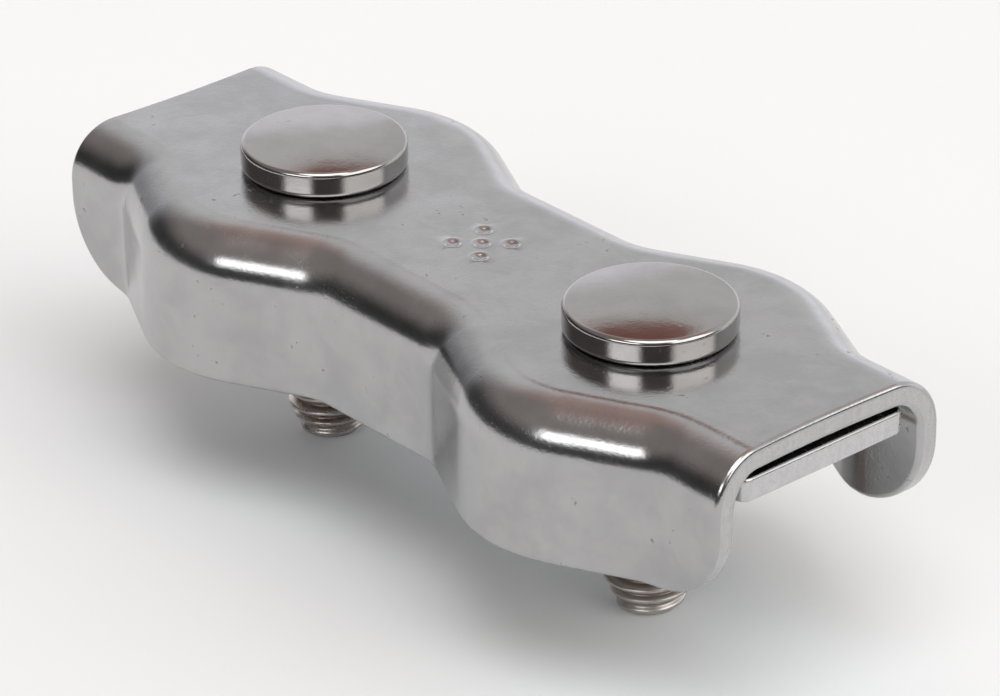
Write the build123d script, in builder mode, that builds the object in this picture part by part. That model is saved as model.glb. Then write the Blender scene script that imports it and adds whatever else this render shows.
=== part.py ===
"""Duplex wire rope clip for 5 mm rope: a wavy sheet-steel channel, a pressure plate, two bolts, two nuts.

Millimetres. The origin is under the middle of the clip, level with the bolt tips. +X runs along the
clip, from bolt to bolt, +Y across it, and +Z up to the bolt heads.
"""

from build123d import *

import os
from math import cos, pi, radians, tan

# ---- driving dimensions ----
bolt_pitch = 26.0  # distance between the two bolt axes
clip_length = 52.0
end_hollow = 0.35  # how far each end edge curves inward at the middle of the web
neck_half_width = 7.65  # half the outer width at the waist and at the ends
bulge_half_width = 10.85  # half the outer width at each bolt
flank_angle = 26.5  # slope of the outline between a neck and a bulge, degrees
neck_corner_radius = 4.0  # outline radius where a flank meets a neck
bulge_radius = 8.0  # outline radius at the widest point
sheet = 1.33  # thickness of the channel's sheet
wall_depth = 8.5  # top of the web to the bottom edge of the walls
bend_radius = 2.9  # outside radius of the bend between web and wall
wall_corner_radius = 4.6  # rounded lower corner at each end of a wall

plate_thickness = 1.33
plate_gap = 0.3  # free height between web and plate with the clip closed
plate_side_clearance = 0.7  # plate edge to wall
plate_end_inset = 0.3  # plate end inside the channel's end
plate_corner_radius = 0.7
plate_hole_radius = 2.75

thread_pitch = 0.8  # M5 coarse
bolt_crest_radius = 2.43  # M5 outside thread, within its tolerance
bolt_root_radius = 1.97
nut_crest_radius = 2.137  # M5 inside thread, within its tolerance
nut_root_radius = 2.57
crest_flat = 0.1  # flat on top of each thread ridge
flank_clearance = 0.081  # axial play on each flank between bolt and nut
thread_overlap = 0.04  # how far a ridge starts inside its core
bolt_tip_depth = 16.0  # top of the web to the bolt's tip
tip_length = 1.75
tip_radius = 1.68

head_radius = 4.54
head_rim_height = 1.55
head_dome_height = 0.2
head_edge_radius = 0.3
neck_square = 5.4  # square neck that keeps the bolt from turning
neck_depth = 1.25
plain_shank = 2.7  # unthreaded length under the head
neck_clearance = 0.06

nut_across_flats = 8.0
nut_height = 4.0
nut_chamfer_radius = 3.9  # flat ring left on each face of the nut
nut_chamfer_angle = 30.0

mark_spacing = 1.1  # five punched dots: one in the middle, four round it
mark_ball_radius = 0.45
mark_depth = 0.2

# ---- levels and places that follow ----
web_top = bolt_tip_depth
web_bottom = web_top - sheet
wall_bottom = web_top - wall_depth
plate_top = web_bottom - plate_gap
plate_bottom = plate_top - plate_thickness
nut_bottom = plate_bottom - nut_height
bolt_x = bolt_pitch / 2
flank = radians(flank_angle)
outline_peak = bulge_half_width + bulge_radius * (1 / cos(flank) - 1)  # where the two flanks would meet


def wavy_edge(inset, length):
    """Corners and corner radii of the +Y edge of the outline, moved in from the outer wall face."""
    neck = neck_half_width - inset
    peak = outline_peak - inset / cos(flank)
    foot = (peak - neck) / tan(flank)
    corners = [(-length / 2, neck)]
    for x in (-bolt_x, bolt_x):
        corners += [(x - foot, neck), (x, peak), (x + foot, neck)]
    corners.append((length / 2, neck))
    concave = neck_corner_radius + inset
    return corners, [concave, bulge_radius - inset, concave] * 2


def wavy_outline(inset, length, hollow=0):
    """Closed outline of the clip, moved in from the outer wall face, with square or hollow ends."""
    corners, corner_radii = wavy_edge(inset, length)
    with BuildSketch() as outline:
        with BuildLine():
            edge = FilletPolyline(*corners, radius=corner_radii)
            mirror(edge, about=Plane.XZ)
            for x, y in (corners[0], corners[-1]):
                if hollow:
                    middle = x - hollow if x > 0 else x + hollow
                    ThreePointArc((x, y), (middle, 0), (x, -y))
                else:
                    Line((x, y), (x, -y))
        make_face()
    return outline.sketch


def long_edges_at(part, height):
    """Edges of the wavy outline at one height, without the two end edges that cross the web."""
    at_height = part.edges().filter_by_position(Axis.Z, height - 0.01, height + 0.01)
    return [e for e in at_height if e.bounding_box().size.Y < neck_half_width]


# ---- channel ----
with BuildPart() as cavity:
    with BuildSketch(Plane.XY.offset(wall_bottom - 1)):
        add(wavy_outline(sheet, clip_length + 4))
    extrude(amount=web_bottom - wall_bottom + 1)
    fillet(long_edges_at(cavity.part, web_bottom), radius=bend_radius - sheet)

with BuildPart() as clamp_body:
    with BuildSketch(Plane.XY.offset(wall_bottom)):
        add(wavy_outline(0, clip_length, end_hollow))
    extrude(amount=wall_depth)
    fillet(long_edges_at(clamp_body.part, web_top), radius=bend_radius)
    add(cavity.part, mode=Mode.SUBTRACT)
    # the walls' lower corners, rounded in side view
    with BuildSketch(Plane.XZ.offset(-bulge_half_width - 1)):
        with Locations((0, web_top - wall_depth / 2)):
            Rectangle(clip_length, wall_depth)
        fillet(vertices().group_by(Axis.Y)[0], radius=wall_corner_radius)
    extrude(amount=2 * bulge_half_width + 2, mode=Mode.INTERSECT)
    # square holes for the bolts' necks
    with BuildSketch(Plane.XY.offset(web_top)):
        with Locations((-bolt_x, 0), (bolt_x, 0)):
            Rectangle(neck_square + 2 * neck_clearance, neck_square + 2 * neck_clearance)
    extrude(amount=-sheet - 1, mode=Mode.SUBTRACT)
    # size mark: five punched dots for 5 mm rope
    dot_offsets = [(0, 0)] + [(i * mark_spacing, j * mark_spacing) for i in (-1, 1) for j in (-1, 1)]
    with Locations([(x, y, web_top + mark_ball_radius - mark_depth) for x, y in dot_offsets]):
        Sphere(mark_ball_radius, mode=Mode.SUBTRACT)
clamp_body.part.label = "clamp_body"

# ---- pressure plate ----
with BuildPart() as pressure_plate:
    with BuildSketch(Plane.XY.offset(plate_bottom)) as plate_sketch:
        add(wavy_outline(sheet + plate_side_clearance, clip_length - 2 * plate_end_inset))
        ends = plate_sketch.vertices().group_by(Axis.X)
        fillet(ends[0] + ends[-1], radius=plate_corner_radius)
        with Locations((-bolt_x, 0), (bolt_x, 0)):
            Circle(plate_hole_radius, mode=Mode.SUBTRACT)
    extrude(amount=plate_thickness)
pressure_plate.part.label = "pressure_plate"


# ---- threads ----
def helical_ridge(start, turns, inner, outer, half_width):
    """Right-hand helical ridge about the Z axis, from z = start up, as wide as half_width(r) says."""
    with BuildPart() as ridge:
        with BuildLine() as path:
            Helix(thread_pitch, turns * thread_pitch, (inner + outer) / 2, center=(0, 0, start))
        half_depth = (outer - inner) / 2
        with BuildSketch(Plane(path.line @ 0, x_dir=(1, 0, 0), z_dir=path.line % 0)):
            with BuildLine():
                Polyline(
                    (-half_depth, -half_width(inner)),
                    (half_depth, -half_width(outer)),
                    (half_depth, half_width(outer)),
                    (-half_depth, half_width(inner)),
                    close=True,
                )
            make_face()
        sweep(path=path.line, is_frenet=True)
    return ridge.part


def bolt_ridge_half_width(r):
    """Half the width of the bolt's thread ridge at radius r, with 60 degrees between its flanks."""
    return crest_flat / 2 + (bolt_crest_radius - r) * tan(radians(30))


def nut_groove_half_width(r):
    return bolt_ridge_half_width(r) + flank_clearance


# ---- bolt: low round head, square neck in the web, right-hand M5 thread ----
head_top = web_top + head_rim_height
head_face_radius = head_radius - head_edge_radius
dome_radius = (head_face_radius**2 + head_dome_height**2) / (2 * head_dome_height)
bolt_thread_start = -thread_pitch
bolt_thread_turns = 18

with BuildPart() as bolt:
    # core and thread, from below the tip up into the plain shank
    with BuildSketch(Plane.XY.offset(bolt_thread_start - thread_pitch)):
        Circle(bolt_root_radius)
    extrude(amount=web_top - bolt_thread_start + thread_pitch)
    ridge_foot = bolt_root_radius - thread_overlap
    add(
        helical_ridge(
            bolt_thread_start, bolt_thread_turns, ridge_foot, bolt_crest_radius, bolt_ridge_half_width
        )
    )
    # cut to the coned tip
    with BuildSketch(Plane.XZ):
        with BuildLine():
            cone_radius = 2 * bolt_crest_radius - tip_radius
            Polyline(
                (0, 0),
                (tip_radius, 0),
                (cone_radius, 2 * tip_length),
                (cone_radius, web_top),
                (0, web_top),
                close=True,
            )
        make_face()
    revolve(axis=Axis.Z, mode=Mode.INTERSECT)
    with BuildSketch(Plane.XY.offset(web_top)):
        Circle(bolt_crest_radius)
    extrude(amount=-plain_shank)
    with BuildSketch(Plane.XZ):
        with BuildLine():
            lower_edge = web_top + head_edge_radius
            upper_edge = head_top - head_edge_radius
            Polyline((0, head_top + head_dome_height), (0, web_top), (head_face_radius, web_top))
            RadiusArc((head_face_radius, web_top), (head_radius, lower_edge), -head_edge_radius)
            Line((head_radius, lower_edge), (head_radius, upper_edge))
            RadiusArc((head_radius, upper_edge), (head_face_radius, head_top), -head_edge_radius)
            RadiusArc((head_face_radius, head_top), (0, head_top + head_dome_height), -dome_radius)
        make_face()
    revolve(axis=Axis.Z)
    with BuildSketch(Plane.XY.offset(web_top)):
        Rectangle(neck_square, neck_square)
    extrude(amount=-neck_depth)

# ---- nut: hexagon against the plate's underside, its thread in mesh with the bolt's ----
corner_radius = nut_across_flats / 2 / cos(pi / 6)
chamfer_height = (corner_radius - nut_chamfer_radius) * tan(radians(nut_chamfer_angle))
turns_below_nut = int(nut_bottom / thread_pitch)
nut_thread_start = bolt_thread_start + turns_below_nut * thread_pitch
nut_turns = int(nut_height / thread_pitch) + 3

with BuildPart() as tap:
    with BuildSketch(Plane.XY.offset(nut_thread_start - thread_pitch)):
        Circle(nut_crest_radius)
    extrude(amount=(nut_turns + 2) * thread_pitch)
    groove_inner = nut_crest_radius - thread_overlap
    add(
        helical_ridge(
            nut_thread_start, nut_turns, groove_inner, nut_root_radius, nut_groove_half_width
        )
    )

with BuildPart() as nut:
    with BuildSketch(Plane.XY.offset(nut_bottom)):
        RegularPolygon(nut_across_flats / 2, 6, major_radius=False)
    extrude(amount=nut_height)
    # corners turned off above and below
    with BuildSketch(Plane.XZ):
        with BuildLine():
            Polyline(
                (0, nut_bottom),
                (nut_chamfer_radius, nut_bottom),
                (corner_radius, nut_bottom + chamfer_height),
                (corner_radius, plate_bottom - chamfer_height),
                (nut_chamfer_radius, plate_bottom),
                (0, plate_bottom),
                close=True,
            )
        make_face()
    revolve(axis=Axis.Z, mode=Mode.INTERSECT)
    add(tap.part, mode=Mode.SUBTRACT)

# ---- files ----
os.makedirs("parts", exist_ok=True)
export_step(clamp_body.part, "parts/clamp_body.step")
export_step(pressure_plate.part, "parts/pressure_plate.step")
for side, x in (("left", -bolt_x), ("right", bolt_x)):
    for kind, pattern in (("bolt", bolt), ("nut", nut)):
        with BuildPart() as fastener:
            with Locations((x, 0, 0)):
                add(pattern.part)
        fastener.part.label = f"{kind}_{side}"
        export_step(fastener.part, f"parts/{kind}_{side}.step")
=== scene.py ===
"""Looks of a duplex wire rope clip: polished stainless channel, plate, round-head bolts and nuts.

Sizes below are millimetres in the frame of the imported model. The frame's boxes give the places.
"""
import math

import bmesh
import bpy
import numpy as np
from mathutils import Matrix, Vector


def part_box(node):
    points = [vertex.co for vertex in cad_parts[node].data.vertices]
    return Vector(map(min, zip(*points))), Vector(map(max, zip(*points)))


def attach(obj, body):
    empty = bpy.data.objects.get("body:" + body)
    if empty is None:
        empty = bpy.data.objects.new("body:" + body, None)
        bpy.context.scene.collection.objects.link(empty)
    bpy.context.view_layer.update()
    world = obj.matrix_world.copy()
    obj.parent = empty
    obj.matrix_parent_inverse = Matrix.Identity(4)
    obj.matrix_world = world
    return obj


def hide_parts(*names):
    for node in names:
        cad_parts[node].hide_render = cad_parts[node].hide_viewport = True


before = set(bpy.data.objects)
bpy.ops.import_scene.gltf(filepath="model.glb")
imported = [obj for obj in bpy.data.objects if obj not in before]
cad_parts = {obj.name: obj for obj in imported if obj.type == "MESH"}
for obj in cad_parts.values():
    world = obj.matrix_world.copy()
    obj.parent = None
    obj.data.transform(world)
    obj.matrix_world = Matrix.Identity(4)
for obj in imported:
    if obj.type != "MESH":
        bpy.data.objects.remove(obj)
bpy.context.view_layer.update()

MM = 0.001


def box_mm(node):
    """Lowest and highest corners of a node, in millimetres."""
    low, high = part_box(node)
    return np.array(low) / MM, np.array(high) / MM


# ---------------------------------------------------------------- sizes

body_low, body_high = box_mm("clamp_body")
plate_low, plate_high = box_mm("pressure_plate")
bolt_low, bolt_high = box_mm("bolt_right")
nut_low, nut_high = box_mm("nut_right")

half_length = body_high[0]
bulge_half_width = body_high[1]
web_top = body_high[2]
wall_foot = body_low[2]
bolt_x = (bolt_low[0] + bolt_high[0]) / 2

waist_half_width = 7.65  # at the waist and at both ends
flank_angle = math.radians(26.5)
bulge_radius = 8.0
waist_radius = 4.0
sheet = 1.33
bend_radius = 2.9
foot_radius = 4.6
cut_radius = 0.3  # rounding of the sheared edge all round the channel
end_hollow = 0.35  # how far each end edge curves inward at the middle of the web

neck_square = 5.4  # the square neck under a bolt's head, and the channel's holes for it
neck_clearance = 0.06
neck_depth = 1.25
hole_half = neck_square / 2 + neck_clearance
head_radius = (bolt_high[0] - bolt_low[0]) / 2
head_dome = 0.2
head_top = bolt_high[2]
head_edge = 0.3
head_under_edge = 0.42

thread_pitch = 0.8
crest_share = 0.1  # of half the pitch, from the middle of a crest to the end of its flat
flank_share = 0.78  # of half the pitch, from there down to the root
bolt_crest = 2.43
bolt_root = 1.97
nut_crest = 2.137
nut_root = 2.57
thread_end = web_top - 2.7  # where the thread runs out, below the square neck
tip_radius = 1.68
tip_length = 1.75
tip_depth_share = 0.45  # of the thread's depth, what is left at the very end

nut_flats = nut_high[1] - nut_low[1]
nut_mouth = nut_root + 0.1
nut_seat_radius = 3.2
nut_face_radius = 3.9
nut_chamfer = math.radians(30)

plate_inset = sheet + 0.7
plate_corner = 0.7
plate_hole = 2.75
plate_edge = 0.2

ring_steps = 72  # points round every bolt and nut, so their rings weld

dot_spacing = 1.1
dot_radius = 0.34
dot_depth = 0.13
lip_radius = 1.5 * dot_radius
lip_width = 0.1
lip_height = 0.012
mark_half = 1.65  # half the side of the finely divided square that holds the dots
mark_steps = 26  # points from its middle to its side

weld_grid = 1e-4  # points that round to the same place on this grid are welded
weld_shift = 0.3171  # keeps round numbers off the grid's rounding limits

# The flank of a bulge is a straight line from the bulge's arc to the waist's arc. Measured from the
# middle of the bulge, it would start at peak and reach the waist's width at flank_foot.
peak = bulge_half_width + bulge_radius * (1 / math.cos(flank_angle) - 1)
flank_foot = (peak - waist_half_width) / math.tan(flank_angle)
waist_tangent = waist_radius * math.tan(flank_angle / 2)
arc_end = bulge_radius * math.sin(flank_angle)
flank_end = flank_foot - waist_tangent * math.cos(flank_angle)
waist_start = flank_foot + waist_tangent


# ---------------------------------------------------------------- mesh building


class Skin:
    """Gathers grids of points with a normal at each point, then makes one welded mesh."""

    def __init__(self):
        self.points = []
        self.normals = []
        self.faces = []
        self.slots = []

    def grid(self, points, normals, slot=0, drop=None):
        """Adds the quads between rows of points. drop marks the quads to leave out."""
        points = np.asarray(points, float)
        normals = np.broadcast_to(np.asarray(normals, float), points.shape)
        rows, columns = points.shape[:2]
        start = sum(len(p) for p in self.points)
        self.points.append(points.reshape(-1, 3))
        self.normals.append(normals.reshape(-1, 3))
        index = start + np.arange(rows * columns).reshape(rows, columns)
        quads = np.stack([index[:-1, :-1], index[:-1, 1:], index[1:, 1:], index[1:, :-1]], -1)
        across = points[1:, 1:] - points[:-1, :-1]
        along = points[1:, :-1] - points[:-1, 1:]
        facing = (np.cross(across, along) * normals[:-1, :-1]).sum()
        if facing < 0:
            quads = quads[..., ::-1]
        kept = quads.reshape(-1, 4)
        if drop is not None:
            kept = kept[~drop.reshape(-1)]
        self.faces.append(kept)
        self.slots.append(np.full(len(kept), slot))

    def mesh(self, name, materials):
        """One object with shared vertices and the gathered normals."""
        points = np.concatenate(self.points)
        normals = np.concatenate(self.normals)
        normals = normals / np.linalg.norm(normals, axis=1)[:, None]
        keys = np.round(points / weld_grid + weld_shift).astype(np.int64)
        first, where = np.unique(keys, axis=0, return_index=True, return_inverse=True)[1:]
        where = where.reshape(-1)
        faces = []
        corner_normals = []
        slots = []
        for face, slot in zip(np.concatenate(self.faces), np.concatenate(self.slots)):
            welded = where[face]
            keep = [k for k in range(4) if welded[k] != welded[k - 1]]
            if len(keep) < 3 or len(set(welded[keep])) < len(keep):
                continue
            faces.append([int(welded[k]) for k in keep])
            corner_normals.extend(normals[face[k]] for k in keep)
            slots.append(int(slot))
        mesh = bpy.data.meshes.new(name)
        mesh.from_pydata([tuple(p * MM) for p in points[first]], [], faces)
        for material in materials:
            mesh.materials.append(material)
        mesh.polygons.foreach_set("material_index", slots)
        mesh.shade_smooth()
        mesh.normals_split_custom_set([tuple(n) for n in corner_normals])
        mesh.update()
        obj = bpy.data.objects.new(name, mesh)
        bpy.context.scene.collection.objects.link(obj)
        return obj


def turned(profile, normals, centre):
    """Grid of points and normals for a profile of (radius, z) turned about a vertical axis."""
    angle = np.linspace(0, 2 * np.pi, ring_steps + 1)
    cos, sin = np.cos(angle), np.sin(angle)
    profile, normals = np.asarray(profile, float), np.asarray(normals, float)
    points = np.stack(
        [
            centre[0] + profile[:, :1] * cos,
            centre[1] + profile[:, :1] * sin,
            np.repeat(profile[:, 1:], len(angle), 1),
        ],
        -1,
    )
    directions = np.stack(
        [normals[:, :1] * cos, normals[:, :1] * sin, np.repeat(normals[:, 1:], len(angle), 1)], -1
    )
    return points, directions


def arc(centre, radius, start, end, steps):
    """Points (radius, z) and normals on an arc, by angles in degrees from the outward direction."""
    angle = np.radians(np.linspace(start, end, steps + 1))
    normal = np.stack([np.cos(angle), np.sin(angle)], -1)
    return np.asarray(centre) + radius * normal, normal


# ---------------------------------------------------------------- channel


def edge(x):
    """Half width of the channel at x, with the x and y parts of the wall's outward normal."""
    x = np.asarray(x, float)
    u = np.abs(np.abs(x) - bolt_x)
    on_arc = u <= arc_end
    on_flank = (u > arc_end) & (u <= flank_end)
    on_corner = (u > flank_end) & (u < waist_start)
    lean = np.zeros_like(u)
    lean[on_arc] = u[on_arc] / bulge_radius
    lean[on_flank] = math.sin(flank_angle)
    lean[on_corner] = (waist_start - u[on_corner]) / waist_radius
    rise = np.sqrt(1 - lean**2)
    width = np.full_like(u, waist_half_width)
    width[on_arc] = bulge_half_width - bulge_radius * (1 - rise[on_arc])
    width[on_flank] = peak - u[on_flank] * math.tan(flank_angle)
    width[on_corner] = waist_half_width + waist_radius * (1 - rise[on_corner])
    side = np.sign(x) * np.sign(np.abs(x) - bolt_x)
    return width, lean * side, rise


# The channel's outer face stops short of its cut edges by cut_radius, where their rounding starts.
face_foot = wall_foot + cut_radius
face_corner = foot_radius - cut_radius
corner_from = half_length - foot_radius


def stations():
    """Places along the channel: every bend of the edge, the foot's corner, the holes and the mark."""
    hole_side = hole_half + bend_radius * math.sin(flank_angle)
    spread = np.concatenate(
        [
            bulge_radius * np.sin(np.linspace(0, flank_angle, 12)),
            [hole_side],
            np.linspace(hole_side, flank_end, 5)[1:],
            waist_start - waist_radius * np.sin(np.linspace(flank_angle, 0, 8)[1:]),
        ]
    )
    inner = bolt_x - spread
    outer = bolt_x + spread
    outer = outer[outer < corner_from - 0.05]
    foot = corner_from + face_corner * np.linspace(0, 1, 15)
    middle = np.linspace(mark_half, bolt_x - waist_start, 5)[:-1]
    mark = np.linspace(0, mark_half, mark_steps)
    right = np.unique(np.round(np.concatenate([mark, middle, inner, outer, foot]), 6))
    return np.concatenate([-right[:0:-1], right])


def dots(x, y):
    """Height of the five punched dots, smooth dimples with a faint raised lip."""
    height = np.zeros_like(x)
    corners = [(i * dot_spacing, j * dot_spacing) for i in (-1, 1) for j in (-1, 1)]
    for cx, cy in [(0, 0)] + corners:
        far = np.hypot(x - cx, y - cy)
        height -= dot_depth * np.exp(-((far / dot_radius) ** 4))
        height += lip_height * np.exp(-(((far - lip_radius) / lip_width) ** 2))
    return height


def punched(points, normals):
    """The channel's outer face with the five dots in the middle of its web."""
    points = points.copy()
    normals = normals.copy()
    reach = mark_half + 0.01
    marked = (np.abs(points[..., 0]) < reach) & (np.abs(points[..., 1]) < reach)
    x, y = points[..., 0][marked], points[..., 1][marked]
    points[..., 2][marked] += dots(x, y)
    small = 0.01
    slope_x = (dots(x + small, y) - dots(x - small, y)) / (2 * small)
    slope_y = (dots(x, y + small) - dots(x, y - small)) / (2 * small)
    normals[marked] = np.stack([-slope_x, -slope_y, 1 + 0 * x], -1)
    return points, normals


def channel_skin():
    """The channel's outer face as rows along it, from the near wall's foot to the far wall's.

    Gives the points, their normals, and the way out across the foot's edge at each station.
    """
    top_x = stations()
    past = np.maximum(np.abs(top_x) - corner_from, 0) / face_corner
    turn = past * math.pi / 2
    low_x = np.where(past > 0, np.sign(top_x) * (corner_from + face_corner * np.sin(turn)), top_x)
    low_z = face_foot + face_corner * (1 - np.cos(turn))
    bend_z = web_top - bend_radius
    outward = np.stack([np.sign(top_x) * np.sin(turn), 0 * turn, -np.cos(turn)], -1)

    # the near wall, from its foot to the bend
    rows = []
    for share in np.linspace(0, 1, 8)[:-1]:
        x = low_x + (top_x - low_x) * share
        width, nx, ny = edge(x)
        z = low_z + (bend_z - low_z) * share
        rows.append((np.stack([x, -width, z], -1), np.stack([nx, -ny, 0 * x], -1)))

    # the bend
    width, nx, ny = edge(top_x)
    centre_x = top_x - bend_radius * nx
    centre_y = width - bend_radius * ny
    for angle in np.linspace(0, math.pi / 2, 19):
        cos, sin = math.cos(angle), math.sin(angle)
        normal = np.stack([nx * cos, -ny * cos, sin + 0 * nx], -1)
        centre = np.stack([centre_x, -centre_y, bend_z + 0 * nx], -1)
        rows.append((centre + bend_radius * normal, normal))

    # the near half of the web: rows that follow the bend, then straight rows
    fixed_y = np.concatenate([np.linspace(0, mark_half, mark_steps), [2.2, hole_half, 3.5, 4.3]])
    web = [fixed_y[-1] + (centre_y - fixed_y[-1]) * share for share in (0.66, 0.33)]
    web += [y + 0 * centre_y for y in fixed_y[::-1]]
    up = np.stack([0 * nx, 0 * nx, 1 + 0 * nx], -1)
    for y in web:
        rows.append((np.stack([centre_x, -y, web_top + 0 * y], -1), up))

    # the far half is the near half's mirror image
    flip = np.array([1, -1, 1])
    rows += [(points * flip, normals * flip) for points, normals in rows[-2::-1]]
    points = np.array([r[0] for r in rows])
    normals = np.array([r[1] for r in rows])

    # both ends curve inward
    x, y = points[..., 0], points[..., 1]
    share = np.clip((np.abs(x) - corner_from) / face_corner, 0, 1)
    hollow = end_hollow * np.maximum(1 - (y / waist_half_width) ** 2, 0)
    points[..., 0] = x - np.sign(x) * share * hollow
    return points, normals, outward


def border(grid):
    """The points on a grid's border, in order, and the first one again."""
    sides = [grid[0], grid[1:, -1], grid[-1, -2::-1], grid[-2:0:-1, 0], grid[:1, 0]]
    return np.concatenate(sides)


def way_out(points, foot_out):
    """Directions across the face's border, away from the sheet, along the sheet's own surface."""
    outward = np.zeros_like(points)
    for column, sign in ((0, -1), (-1, 1)):
        across = np.clip(points[:, column, 1] / waist_half_width, -1, 1)
        lean = -2 * end_hollow / waist_half_width * across * (np.abs(across) < 1)
        outward[:, column] = np.stack([sign + 0 * lean, lean, 0 * lean], -1) / np.sqrt(1 + lean**2)[:, None]
    outward[0] = foot_out
    outward[-1] = foot_out
    return outward


def make_channel(materials):
    """The channel: both faces of the sheet, its sheared edge and the sides of its two holes."""
    outer, normals, foot_out = channel_skin()
    inner = outer - sheet * normals

    middle = (outer[:-1, :-1] + outer[1:, 1:]) / 2
    on_web = (normals[:-1, :-1, 2] > 0.99) & (normals[1:, 1:, 2] > 0.99)
    at_bolt = np.abs(np.abs(middle[..., 0]) - bolt_x) < hole_half
    hole = on_web & at_bolt & (np.abs(middle[..., 1]) < hole_half)

    skin = Skin()
    skin.grid(*punched(outer, normals), 0, hole)
    skin.grid(inner, -normals, 0, hole)
    cut_edge(skin, outer, normals, way_out(outer, foot_out))
    for sign in (-1, 1):
        hole_wall(skin, outer, inner, sign * bolt_x)
    return skin.mesh("channel", materials)


def cut_edge(skin, outer, normals, outward):
    """The sheared edge all round the channel: its outer rounding, its inner rounding and the cut."""
    out, normal = border(outward), border(normals)
    place = border(outer) + cut_radius * out
    turns = np.radians(np.linspace(0, 90, 6))[:, None, None]
    rim = place - cut_radius * (out * (1 - np.sin(turns)) + normal * (1 - np.cos(turns)))
    rim_normal = out * np.sin(turns) + normal * np.cos(turns)
    skin.grid(rim, rim_normal, 0)
    back = place - cut_radius * out * (1 - np.sin(turns))
    back = back - normal * (sheet - cut_radius * (1 - np.cos(turns)))
    back_normal = out * np.sin(turns) - normal * np.cos(turns)
    skin.grid(back, back_normal, 0)
    cut = np.stack([rim[-1] * (1 - share) + back[-1] * share for share in np.linspace(0, 1, 5)])
    skin.grid(cut, np.repeat(out[None], len(cut), 0), 1)


def hole_wall(skin, outer, inner, x0):
    """The four sides of one square hole, between the web's top and underside."""
    middle = len(outer) // 2
    reach = hole_half + weld_grid
    columns = [i for i in range(outer.shape[1]) if abs(outer[middle, i, 0] - x0) < reach]
    rows = [j for j in range(len(outer)) if abs(outer[j, columns[0], 1]) < reach]
    for j in (rows[0], rows[-1]):
        skin.grid([outer[j, columns], inner[j, columns]], (0, -np.sign(outer[j, columns[0], 1]), 0), 1)
    for i in (columns[0], columns[-1]):
        skin.grid([outer[rows, i], inner[rows, i]], (np.sign(x0 - outer[rows[0], i, 0]), 0, 0), 1)


# ---------------------------------------------------------------- threads, bolts, nuts


def ridge(z, angle):
    """Thread profile at a height and angle: 1 on the bolt's crest, 0 at its root."""
    turn = z / thread_pitch - angle / (2 * math.pi)
    away = np.abs(turn - np.floor(turn) - 0.5) * 2
    return 0.5 + 0.5 * np.cos(math.pi * np.clip((away - crest_share) / flank_share, 0, 1))


def bolt_surface(z, angle):
    """Radius of a bolt's shank: a thread that grows shallow on the tapered tip and at its run-out."""
    fade = np.clip((thread_end - z) / thread_pitch, 0, 1)
    taper = np.clip((z - bolt_low[2]) / tip_length, 0, 1)
    crest = tip_radius + (bolt_crest - tip_radius) * taper
    depth = (bolt_crest - bolt_root) * (tip_depth_share + (1 - tip_depth_share) * taper)
    return crest - depth * (1 - ridge(z, angle)) * fade


def nut_surface(z, angle):
    """Radius of a nut's threaded bore, opened by a short cone at each face."""
    thread = nut_crest + (nut_root - nut_crest) * ridge(z, angle)
    mouth = nut_mouth - np.minimum(z - nut_low[2], nut_high[2] - z)
    return np.maximum(thread, mouth)


def threaded(surface, centre, low, high, rows_per_turn=12):
    """Grid that follows a helix between two heights, and its normals away from the axis."""
    angle = np.linspace(0, 2 * math.pi, ring_steps + 1)[None]
    first = math.floor(low / thread_pitch) - 1
    last = math.ceil(high / thread_pitch)
    count = int((last - first) * rows_per_turn) + 1
    level = np.linspace(first, last, count)[:, None] * thread_pitch
    z = np.clip(level + thread_pitch * angle / (2 * math.pi), low, high)
    angle = angle + 0 * z
    radius = surface(z, angle)
    small = 0.004
    by_z = (surface(z + small, angle) - surface(z - small, angle)) / (2 * small)
    by_angle = (surface(z, angle + small) - surface(z, angle - small)) / (2 * small)
    cos, sin = np.cos(angle), np.sin(angle)
    points = np.stack([centre[0] + radius * cos, centre[1] + radius * sin, z], -1)
    normals = np.stack(
        [by_angle * sin + radius * cos, radius * sin - by_angle * cos, -radius * by_z], -1
    )
    return points, normals


def head_profile():
    """The bolt head from the middle of its dome, round its edge and under its rim."""
    flat_radius = head_radius - head_edge
    rim_top = head_top - head_dome
    dome_radius = (flat_radius**2 + head_dome**2) / (2 * head_dome)
    lean = math.asin(flat_radius / dome_radius)
    dome = np.linspace(0, lean, 12)
    points = [np.stack([dome_radius * np.sin(dome), head_top - dome_radius * (1 - np.cos(dome))], -1)]
    normals = [np.stack([np.sin(dome), np.cos(dome)], -1)]
    edge_points, edge_normals = arc(
        (flat_radius, rim_top - head_edge), head_edge, 90 - math.degrees(lean), 0, 10
    )
    points.append(edge_points)
    normals.append(edge_normals)
    under_centre = (head_radius - head_under_edge, web_top + head_under_edge)
    low_points, low_normals = arc(under_centre, head_under_edge, 0, -90, 8)
    points.append(low_points)
    normals.append(low_normals)
    return np.concatenate(points), np.concatenate(normals)


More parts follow.
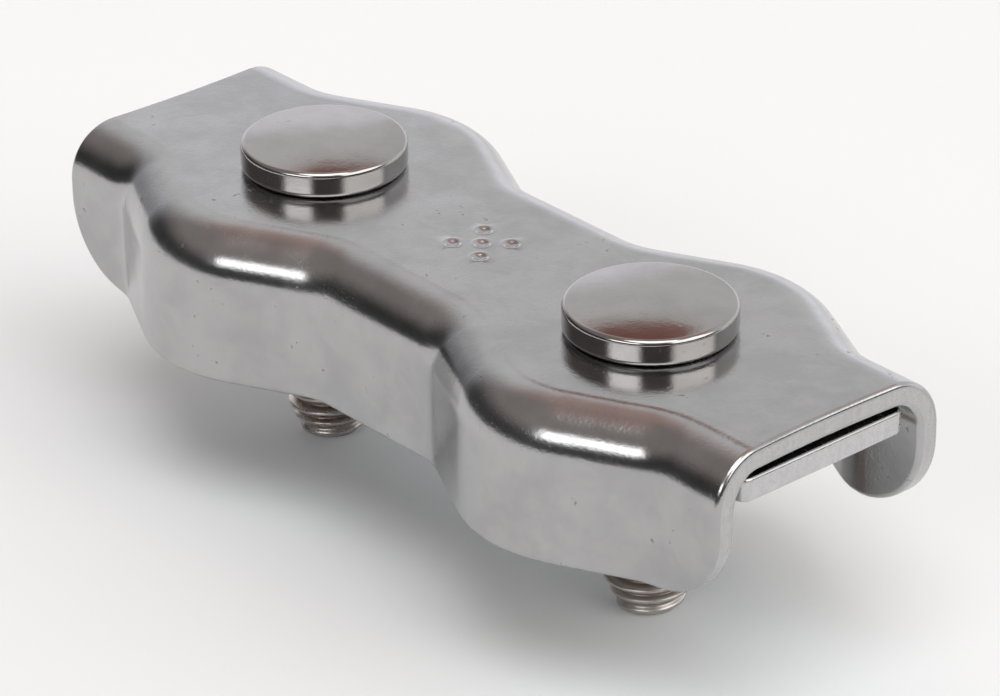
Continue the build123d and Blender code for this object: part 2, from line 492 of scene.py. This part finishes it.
def make_bolt(name, x0, materials):
    """A bolt: turned head, square neck, flat under both, threaded shank and flat tip."""
    centre = (x0, 0.0)
    skin = Skin()
    skin.grid(*turned(*head_profile(), centre), 0)
    half = neck_square / 2
    neck_low = web_top - neck_depth
    outline, directions = polygon(4, half, math.pi / 4)
    ring = np.column_stack([outline + centre, np.full(len(outline), web_top)])
    ring_normals = np.column_stack([directions, np.zeros(len(outline))])
    scale = (head_radius - head_under_edge) / np.linalg.norm(outline, axis=1)[:, None]
    under = np.column_stack([outline * scale + centre, np.full(len(outline), web_top)])
    skin.grid([under, ring], (0, 0, -1), 0)
    lower = ring - (0, 0, neck_depth)
    skin.grid([ring, lower], np.stack([ring_normals] * 2), 0)
    inward = outline / np.linalg.norm(outline, axis=1)[:, None] * bolt_crest
    shank = np.column_stack([inward + centre, np.full(len(outline), neck_low)])
    skin.grid([lower, shank], (0, 0, -1), 0)
    low = bolt_low[2]
    skin.grid(*threaded(bolt_surface, centre, low, neck_low), 1)
    angle = np.linspace(0, 2 * math.pi, ring_steps + 1)
    edge_radius = bolt_surface(low + 0 * angle, angle)
    rings = [edge_radius * share for share in (1.0, 0.6, 0.0)]
    cap = [
        np.stack([x0 + r * np.cos(angle), r * np.sin(angle), low + 0 * angle], -1) for r in rings
    ]
    skin.grid(cap, (0, 0, -1), 1)
    return skin.mesh(name, materials)


def polygon(sides, apothem, first):
    """Closed outline with a corner at angle first, on the rings' angles, and its sides' directions."""
    points = []
    directions = []
    for k in range(sides):
        middle = first + 2 * math.pi * (k + 0.5) / sides
        for turn in np.linspace(-math.pi / sides, math.pi / sides, ring_steps // sides + 1):
            reach = apothem / math.cos(turn)
            points.append((reach * math.cos(middle + turn), reach * math.sin(middle + turn)))
            directions.append((math.cos(middle), math.sin(middle)))
    return np.array(points), np.array(directions)


def make_nut(name, x0, materials):
    """A hexagon nut: flat faces with chamfered corners, six flats and a threaded bore."""
    centre = np.array([x0, 0.0])
    low, high = nut_low[2], nut_high[2]
    outline, directions = polygon(6, nut_flats / 2, 0)
    reach = np.linalg.norm(outline, axis=1)
    radial = outline / reach[:, None]
    drop = np.maximum(reach - nut_face_radius, 0) * math.tan(nut_chamfer)
    skin = Skin()
    for face, up in ((high, 1), (low, -1)):
        rings = [
            np.column_stack([radial * r + centre, np.full(len(reach), face)])
            for r in (nut_mouth, nut_seat_radius, nut_face_radius)
        ]
        skin.grid(rings, (0, 0, up), 0)
        rim = np.column_stack([outline + centre, face - up * drop])
        rise = np.full(len(reach), up * math.cos(nut_chamfer))
        cone = np.column_stack([radial * math.sin(nut_chamfer), rise])
        steps = [rings[-1] + (rim - rings[-1]) * share for share in (0, 0.5, 1)]
        skin.grid(steps, np.stack([cone] * 3), 0)
    top = np.column_stack([outline + centre, high - drop])
    bottom = np.column_stack([outline + centre, low + drop])
    side = [top + (bottom - top) * share for share in np.linspace(0, 1, 4)]
    across = np.column_stack([directions, np.zeros(len(reach))])
    skin.grid(side, np.stack([across] * 4), 0)
    points, normals = threaded(nut_surface, centre, low, high)
    skin.grid(points, -normals, 1)
    return skin.mesh(name, materials)


# ---------------------------------------------------------------- plate


def plate_outline():
    """The plate's outline, inside the channel's walls, with rounded corners."""
    end = plate_high[0]
    arc_x = bulge_radius * np.sin(np.linspace(0, flank_angle, 14))
    waist_x = waist_start - waist_radius * np.sin(np.linspace(flank_angle, 0, 10))
    bends = np.concatenate([arc_x, waist_x])
    right_x = np.concatenate([bolt_x - bends, bolt_x + bends, [end - plate_corner]])
    right_x = np.unique(np.round(right_x[right_x <= end - plate_corner], 6))
    x = np.concatenate([-right_x[::-1], right_x])
    width, nx, ny = edge(x)
    side_x = np.clip(x - plate_inset * nx, -end + plate_corner, end - plate_corner)
    side_y = width - plate_inset * ny
    corner_x = end - plate_corner
    corner_y = side_y[-1] - plate_corner
    turn = np.linspace(0, math.pi / 2, 9)[:-1]
    right = plate_corner * np.stack([np.cos(turn), np.sin(turn)], -1) + (corner_x, corner_y)
    top = np.stack([side_x[::-1], side_y[::-1]], -1)
    left = (right * (-1, 1))[::-1]
    upper = np.concatenate([right, top, left])
    return np.concatenate([upper, upper[::-1] * (1, -1)])


def make_plate(materials):
    """The plate: a flat sheet with two round holes and small rounded edges."""
    curve = bpy.data.curves.new("plate_shape", "CURVE")
    curve.dimensions = "2D"
    curve.fill_mode = "BOTH"
    curve.extrude = ((plate_high[2] - plate_low[2]) / 2 - plate_edge) * MM
    curve.bevel_depth = plate_edge * MM
    curve.bevel_resolution = 3
    curve.offset = -plate_edge * MM
    turn = np.linspace(0, 2 * math.pi, 97)[:-1]
    loops = [plate_outline()]
    for sign in (-1, 1):
        circle = np.stack([sign * bolt_x + plate_hole * np.cos(turn), plate_hole * np.sin(turn)], -1)
        loops.append(circle)
    for loop in loops:
        spline = curve.splines.new("POLY")
        spline.points.add(len(loop) - 1)
        for point, (x, y) in zip(spline.points, loop):
            point.co = (x * MM, y * MM, 0, 1)
        spline.use_cyclic_u = True
    shape = bpy.data.objects.new("plate_shape", curve)
    bpy.context.scene.collection.objects.link(shape)
    bpy.context.view_layer.update()
    evaluated = shape.evaluated_get(bpy.context.evaluated_depsgraph_get())
    mesh = bpy.data.meshes.new_from_object(evaluated)
    bpy.data.objects.remove(shape)
    bpy.data.curves.remove(curve)
    mesh.transform(Matrix.Translation((0, 0, (plate_high[2] + plate_low[2]) / 2 * MM)))
    shaped = bmesh.new()
    shaped.from_mesh(mesh)
    bmesh.ops.remove_doubles(shaped, verts=shaped.verts, dist=1e-7)
    shaped.to_mesh(mesh)
    shaped.free()
    mesh.materials.clear()
    for material in materials:
        mesh.materials.append(material)
    for face in mesh.polygons:
        face.material_index = 1 if abs(face.normal.z) < 0.2 else 0
    mesh.shade_smooth()
    piece = bpy.data.objects.new("plate", mesh)
    bpy.context.scene.collection.objects.link(piece)
    weighted = piece.modifiers.new("weighted", "WEIGHTED_NORMAL")
    weighted.keep_sharp = True
    return piece


# ---------------------------------------------------------------- materials


class Nodes:
    """Short ways to add shader nodes to one tree."""

    def __init__(self, tree):
        self.tree = tree

    def add(self, kind, **settings):
        node = self.tree.nodes.new(kind)
        for key, value in settings.items():
            setattr(node, key, value)
        return node

    def link(self, source, target):
        self.tree.links.new(source, target)

    def put(self, target, value):
        if isinstance(value, bpy.types.NodeSocket):
            self.link(value, target)
        else:
            target.default_value = value

    def math(self, operation, *values, clamp=False):
        node = self.add("ShaderNodeMath", operation=operation, use_clamp=clamp)
        for socket, value in zip(node.inputs, values):
            self.put(socket, value)
        return node.outputs[0]

    def ramp(self, value, low, high, to_low=0.0, to_high=1.0, smooth=True):
        node = self.add("ShaderNodeMapRange")
        node.interpolation_type = "SMOOTHSTEP" if smooth else "LINEAR"
        for socket, item in zip(node.inputs, (value, low, high, to_low, to_high)):
            self.put(socket, item)
        return node.outputs[0]

    def mix(self, share, first, second):
        node = self.add("ShaderNodeMix", data_type="RGBA")
        self.put(node.inputs[0], share)
        self.put(node.inputs[6], first)
        self.put(node.inputs[7], second)
        return node.outputs[2]

    def noise(self, vector, scale, detail=3.0, rough=0.5, distort=0.0):
        node = self.add("ShaderNodeTexNoise")
        self.link(vector, node.inputs["Vector"])
        node.inputs["Scale"].default_value = scale
        node.inputs["Detail"].default_value = detail
        node.inputs["Roughness"].default_value = rough
        node.inputs["Distortion"].default_value = distort
        return node.outputs["Fac"]

    def split(self, vector):
        node = self.add("ShaderNodeSeparateXYZ")
        self.link(vector, node.inputs[0])
        return node.outputs

    def stretched(self, vector, scale, turn=(0, 0, 0)):
        node = self.add("ShaderNodeMapping")
        self.link(vector, node.inputs["Vector"])
        node.inputs["Scale"].default_value = scale
        node.inputs["Rotation"].default_value = turn
        return node.outputs[0]

    def bump(self, shader, height, strength, distance):
        node = self.add("ShaderNodeBump")
        node.inputs["Strength"].default_value = strength
        node.inputs["Distance"].default_value = distance
        self.link(height, node.inputs["Height"])
        self.link(node.outputs[0], shader.inputs["Normal"])


def bare_metal(name):
    """A material with a metal shader alone. Gives it, its nodes, the place on the object, the shader."""
    material = bpy.data.materials.new(name)
    material.use_nodes = True
    n = Nodes(material.node_tree)
    n.tree.nodes.clear()
    where = n.add("ShaderNodeTexCoord").outputs["Object"]
    shader = n.add("ShaderNodeBsdfPrincipled")
    shader.inputs["Metallic"].default_value = 1.0
    output = n.add("ShaderNodeOutputMaterial")
    n.link(shader.outputs[0], output.inputs[0])
    return material, n, where, shader


def thread_root_shade_mix(n, where, patches, shaded_root_radius, unshaded_crest_radius):
    """Mix for the painted shade in a thread's roots, by how far out a point is: 0 in the root, 1 on the
    crest.

    The bolt's cut end is left almost unshaded, and the crests stay unshaded down its tapered tip.
    """
    x, y, z = n.split(where)
    from_axis = n.math("SUBTRACT", n.math("ABSOLUTE", x), bolt_x * MM)
    square = n.math("ADD", n.math("MULTIPLY", from_axis, from_axis), n.math("MULTIPLY", y, y))
    low = bolt_low[2]
    taper = ((bolt_crest - tip_radius) * MM, 0.0)
    lift = n.ramp(z, low * MM, (low + tip_length) * MM, *taper, smooth=False)
    radius = n.math("ADD", n.math("SQRT", square), lift)
    # painted shade: points near the root radius take the dark root colour
    height = n.ramp(radius, shaded_root_radius * MM, unshaded_crest_radius * MM)
    oiled = n.math("MULTIPLY", n.ramp(patches, 0.5, 0.7), 0.45)
    height = n.math("SUBTRACT", height, oiled, clamp=True)
    end = n.ramp(z, (low + 0.04) * MM, (low + 0.01) * MM, 0.0, 0.85)
    return n.math("MAXIMUM", height, end)


def steel(name, colour, rough, cloud=0.05, grain=0.6, marks=0.6, scratch=1.0, thread=None):
    """Polished stainless steel: clouded gloss, fine tumbling marks, hairline scratches and pits.

    cloud, grain, marks and scratch scale the clouds, the fine grain, the pits and the scratches.
    thread gives the painted shade in a thread's roots: the radius in mm that is fully shaded, the radius that
    is not shaded, and the shade's dark colour.
    """
    material, n, where, shader = bare_metal(name)
    clouds = n.noise(where, 140, 4.0, 0.55, 0.6)
    patches = n.noise(where, 420, 5.0, 0.6, 0.3)
    speckle = n.noise(where, 5200, 2.0, 0.6)
    lines_a = n.noise(n.stretched(where, (900, 9000, 9000), (0.3, 0.1, 0.5)), 1.0, 2.0, 0.6)
    lines_b = n.noise(n.stretched(where, (9000, 800, 9000), (0.2, 0.9, -0.4)), 1.0, 2.0, 0.6)
    scratch_a = n.ramp(lines_a, 0.66, 0.74)
    scratch_b = n.ramp(lines_b, 0.67, 0.75)
    scratches = n.math("MULTIPLY", n.math("MAXIMUM", scratch_a, scratch_b), n.ramp(clouds, 0.45, 0.62))
    pit_noise = n.noise(where, 2300, 2.0, 0.5)
    pits = n.math("MULTIPLY", n.ramp(pit_noise, 0.64, 0.72), n.ramp(patches, 0.57, 0.66))

    light = [min(c * (1 + cloud), 1) for c in colour]
    dark = [c * (1 - cloud * 2) for c in colour]
    mottle = n.math("ADD", n.math("MULTIPLY", clouds, 0.45), n.math("MULTIPLY", patches, 0.55))
    tone = n.mix(n.ramp(mottle, 0.38, 0.62), (*dark, 1), (*light, 1))
    worn = [c * 0.72 for c in colour]
    tone = n.mix(n.math("MULTIPLY", pits, marks), tone, (*worn, 1))
    # painted shade in the thread's roots: a dark colour mixed in by distance from the bolt's axis
    if thread:
        shaded_root_radius, unshaded_crest_radius, root_shade_colour = thread
        out = thread_root_shade_mix(n, where, patches, shaded_root_radius, unshaded_crest_radius)
        tone = n.mix(out, root_shade_colour, tone)
    n.link(tone, shader.inputs["Base Color"])

    gloss = n.ramp(clouds, 0.3, 0.7, rough * 0.82, rough * 1.2)
    gloss = n.math("ADD", gloss, n.math("MULTIPLY", speckle, rough * 0.25))
    gloss = n.math("ADD", gloss, n.math("MULTIPLY", scratches, 0.12 * scratch))
    gloss = n.math("ADD", gloss, n.math("MULTIPLY", pits, 0.25 * marks), clamp=True)
    n.link(gloss, shader.inputs["Roughness"])

    height = n.math("MULTIPLY", n.noise(where, 260, 2.0, 0.4), 0.9)
    height = n.math("ADD", height, n.math("MULTIPLY", speckle, grain * 0.1))
    height = n.math("SUBTRACT", height, n.math("MULTIPLY", scratches, 0.03 * scratch))
    height = n.math("SUBTRACT", height, n.math("MULTIPLY", pits, 0.12 * marks))
    n.bump(shader, height, 0.5, 0.08 * MM)
    return material


def sheared(name, colour, rough):
    """A sheared edge: less glossy, with short upright drag lines and a torn grain."""
    material, n, where, shader = bare_metal(name)
    drag = n.noise(n.stretched(where, (3400, 3400, 1100)), 1.0, 3.0, 0.6)
    torn = n.noise(where, 3800, 4.0, 0.65)
    broad = n.noise(where, 500, 3.0, 0.5)
    mixed = n.math("ADD", n.math("MULTIPLY", drag, 0.5), n.math("MULTIPLY", torn, 0.5))
    light = [min(c * 1.05, 1) for c in colour]
    dark = [c * 0.93 for c in colour]
    n.link(n.mix(n.ramp(mixed, 0.36, 0.64), (*dark, 1), (*light, 1)), shader.inputs["Base Color"])
    gloss = n.ramp(broad, 0.3, 0.7, rough * 0.85, rough * 1.15)
    gloss = n.math("ADD", gloss, n.ramp(torn, 0.4, 0.7, 0.0, 0.1))
    n.link(gloss, shader.inputs["Roughness"])
    n.bump(shader, mixed, 0.6, 0.03 * MM)
    return material


# painted shade for the thread roots: the fully shaded radius in mm, the unshaded radius, and the shade's
# colour
bolt_thread_root_shade = (1.93, 2.3, (0.20, 0.155, 0.13, 1))
nut_thread_root_shade = (2.5, 2.2, (0.09, 0.075, 0.065, 1))

channel_steel = steel("channel_steel", (0.43, 0.43, 0.432), 0.16, cloud=0.045, grain=1.5, marks=1.3)
channel_cut = sheared("channel_cut", (0.49, 0.49, 0.49), 0.26)
plate_steel = steel("plate_steel", (0.50, 0.50, 0.50), 0.2, scratch=1.4)
plate_cut = sheared("plate_cut", (0.56, 0.56, 0.565), 0.26)
head_steel = steel("head_steel", (0.38, 0.367, 0.36), 0.10, cloud=0.04, marks=0.4)
thread_steel = steel("thread_steel", (0.60, 0.56, 0.53), 0.27, thread=bolt_thread_root_shade)
nut_steel = steel("nut_steel", (0.48, 0.48, 0.48), 0.24, scratch=1.5)
nut_thread = steel("nut_thread", (0.42, 0.39, 0.36), 0.28, thread=nut_thread_root_shade)


# ---------------------------------------------------------------- pieces

channel = make_channel([channel_steel, channel_cut])
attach(channel, "clamp")
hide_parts("clamp_body")

plate = make_plate([plate_steel, plate_cut])
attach(plate, "plate")
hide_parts("pressure_plate")

for side, sign in (("left", -1), ("right", 1)):
    bolt = make_bolt(f"round_head_bolt_{side}", sign * bolt_x, [head_steel, thread_steel])
    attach(bolt, "clamp")
    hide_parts(f"bolt_{side}")
    nut = make_nut(f"hexagon_nut_{side}", sign * bolt_x, [nut_steel, nut_thread])
    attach(nut, f"nut_{side}")
    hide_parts(f"nut_{side}")


# ---------------------------------------------------------------- floor, light and camera


def make_floor():
    """A pale matt floor, 3 m square, under the bolts' tips."""
    material = bpy.data.materials.new("pale_floor")
    material.use_nodes = True
    n = Nodes(material.node_tree)
    shader = n.tree.nodes["Principled BSDF"]
    where = n.add("ShaderNodeTexCoord").outputs["Object"]
    tone = n.mix(n.noise(where, 30, 2.0), (0.835, 0.855, 0.865, 1), (0.85, 0.87, 0.88, 1))
    n.link(tone, shader.inputs["Base Color"])
    shader.inputs["Roughness"].default_value = 0.9
    shader.inputs["Specular IOR Level"].default_value = 0.1
    half = 1.5
    corners = [(x * half, y * half, bolt_low[2] * MM) for x, y in ((-1, -1), (1, -1), (1, 1), (-1, 1))]
    mesh = bpy.data.meshes.new("floor")
    mesh.from_pydata(corners, [], [(0, 1, 2, 3)])
    mesh.materials.append(material)
    floor = bpy.data.objects.new("floor", mesh)
    bpy.context.scene.collection.objects.link(floor)


def make_world():
    """The studio that the steel reflects, painted by direction.

    The side behind the object is a grey room with a paler wall low down. The camera's side is dark.
    There is a softbox on each side of the camera and one overhead. The camera itself sees a plain near-white.
    around is the angle about the vertical, in the same sense as the camera's azimuth, and above is
    the angle over the horizon, both in degrees.
    """
    world = bpy.data.worlds.new("studio")
    bpy.context.scene.world = world
    world.use_nodes = True
    n = Nodes(world.node_tree)
    n.tree.nodes.clear()
    direction = n.add("ShaderNodeTexCoord").outputs["Generated"]
    x, y, z = n.split(direction)
    degrees = 180 / math.pi
    around = n.math("MULTIPLY", n.math("ARCTAN2", x, n.math("MULTIPLY", y, -1.0)), degrees)
    above = n.math("MULTIPLY", n.math("ARCSINE", z), degrees)

    def window(sides, levels, soft):
        """1 between two angles around and two above, with edges that fade by soft each way."""
        mask = n.ramp(around, sides[0] - soft, sides[0] + soft)
        mask = n.math("MULTIPLY", mask, n.ramp(around, sides[1] - soft, sides[1] + soft, 1.0, 0.0))
        mask = n.math("MULTIPLY", mask, n.ramp(above, levels[0] - soft, levels[0] + soft))
        return n.math("MULTIPLY", mask, n.ramp(above, levels[1] - soft, levels[1] + soft, 1.0, 0.0))

    def flat(value, tint=(1, 1, 1)):
        return (*(value * t for t in tint), 1)

    # the room behind: grey, warm above, a pale low wall, and a brown patch that the heads reflect
    room = n.mix(n.ramp(above, 42, 58), flat(0.85), (0.60, 0.42, 0.38, 1))
    wall_top = n.math("SUBTRACT", above, n.ramp(around, -138, -129, 0, 10))
    room = n.mix(n.ramp(wall_top, 15, 10), room, (1.15, 1.15, 1.22, 1))
    room = n.mix(window((-137, -126), (34, 42), 2), room, (0.32, 0.14, 0.11, 1))

    # the camera's side: nearly black at the horizon, grey higher up, warm near the top, pale below
    dark = n.mix(n.ramp(above, 15, 41), flat(0.05), (0.34, 0.30, 0.285, 1))
    dark = n.mix(n.ramp(above, 60, 78), dark, (0.58, 0.39, 0.35, 1))
    dark = n.mix(n.ramp(above, -4, -12), dark, flat(0.8))
    shade = n.math("MULTIPLY", n.ramp(around, -116, -74), n.ramp(around, 130, 150, 1.0, 0.0))
    colour = n.mix(shade, room, dark)

    # softboxes left and right of the camera, and one overhead
    colour = n.mix(window((-6, 33), (23, 37), 5), colour, flat(3.8))
    colour = n.mix(window((76, 138), (20, 60), 6), colour, flat(2.7, (1.0, 0.99, 0.96)))
    lamp = Vector((0.24, -0.2, 0.95)).normalized()
    dot = n.add("ShaderNodeVectorMath", operation="DOT_PRODUCT")
    n.link(direction, dot.inputs[0])
    dot.inputs[1].default_value = lamp
    overhead = n.ramp(dot.outputs["Value"], math.cos(math.radians(24)), math.cos(math.radians(17)))
    colour = n.mix(overhead, colour, flat(3.2))

    seen = n.add("ShaderNodeLightPath").outputs["Is Camera Ray"]
    colour = n.mix(seen, colour, flat(0.96))
    background = n.add("ShaderNodeBackground")
    n.link(colour, background.inputs["Color"])
    output = n.add("ShaderNodeOutputWorld")
    n.link(background.outputs[0], output.inputs[0])


def make_camera():
    """A long lens aimed near the clip's middle, from its front right and above, with a slight roll."""
    azimuth, elevation, roll = math.radians(49.26), math.radians(27.61), math.radians(-0.755)
    distance = 262.54
    aim = Vector((2.49, -1.01, web_top - 4.87)) * MM
    image_width = 1000
    focal_px = 5017.9
    sideways = math.cos(elevation)
    back = Vector((math.sin(azimuth) * sideways, -math.cos(azimuth) * sideways, math.sin(elevation)))
    level = Vector((math.cos(azimuth), math.sin(azimuth), 0))
    upward = back.cross(level)
    right = math.cos(roll) * level + math.sin(roll) * upward
    up = math.cos(roll) * upward - math.sin(roll) * level
    lens = bpy.data.cameras.new("camera")
    lens.sensor_fit = "HORIZONTAL"
    lens.sensor_width = 36.0
    lens.lens = focal_px * lens.sensor_width / image_width
    lens.clip_start = 0.005
    camera = bpy.data.objects.new("camera", lens)
    bpy.context.scene.collection.objects.link(camera)
    placing = Matrix((right, up, back)).transposed().to_4x4()
    placing.translation = aim + back * distance * MM
    camera.matrix_world = placing
    bpy.context.scene.camera = camera


make_floor()
make_world()
bpy.context.scene.view_settings.view_transform = "Standard"
make_camera()
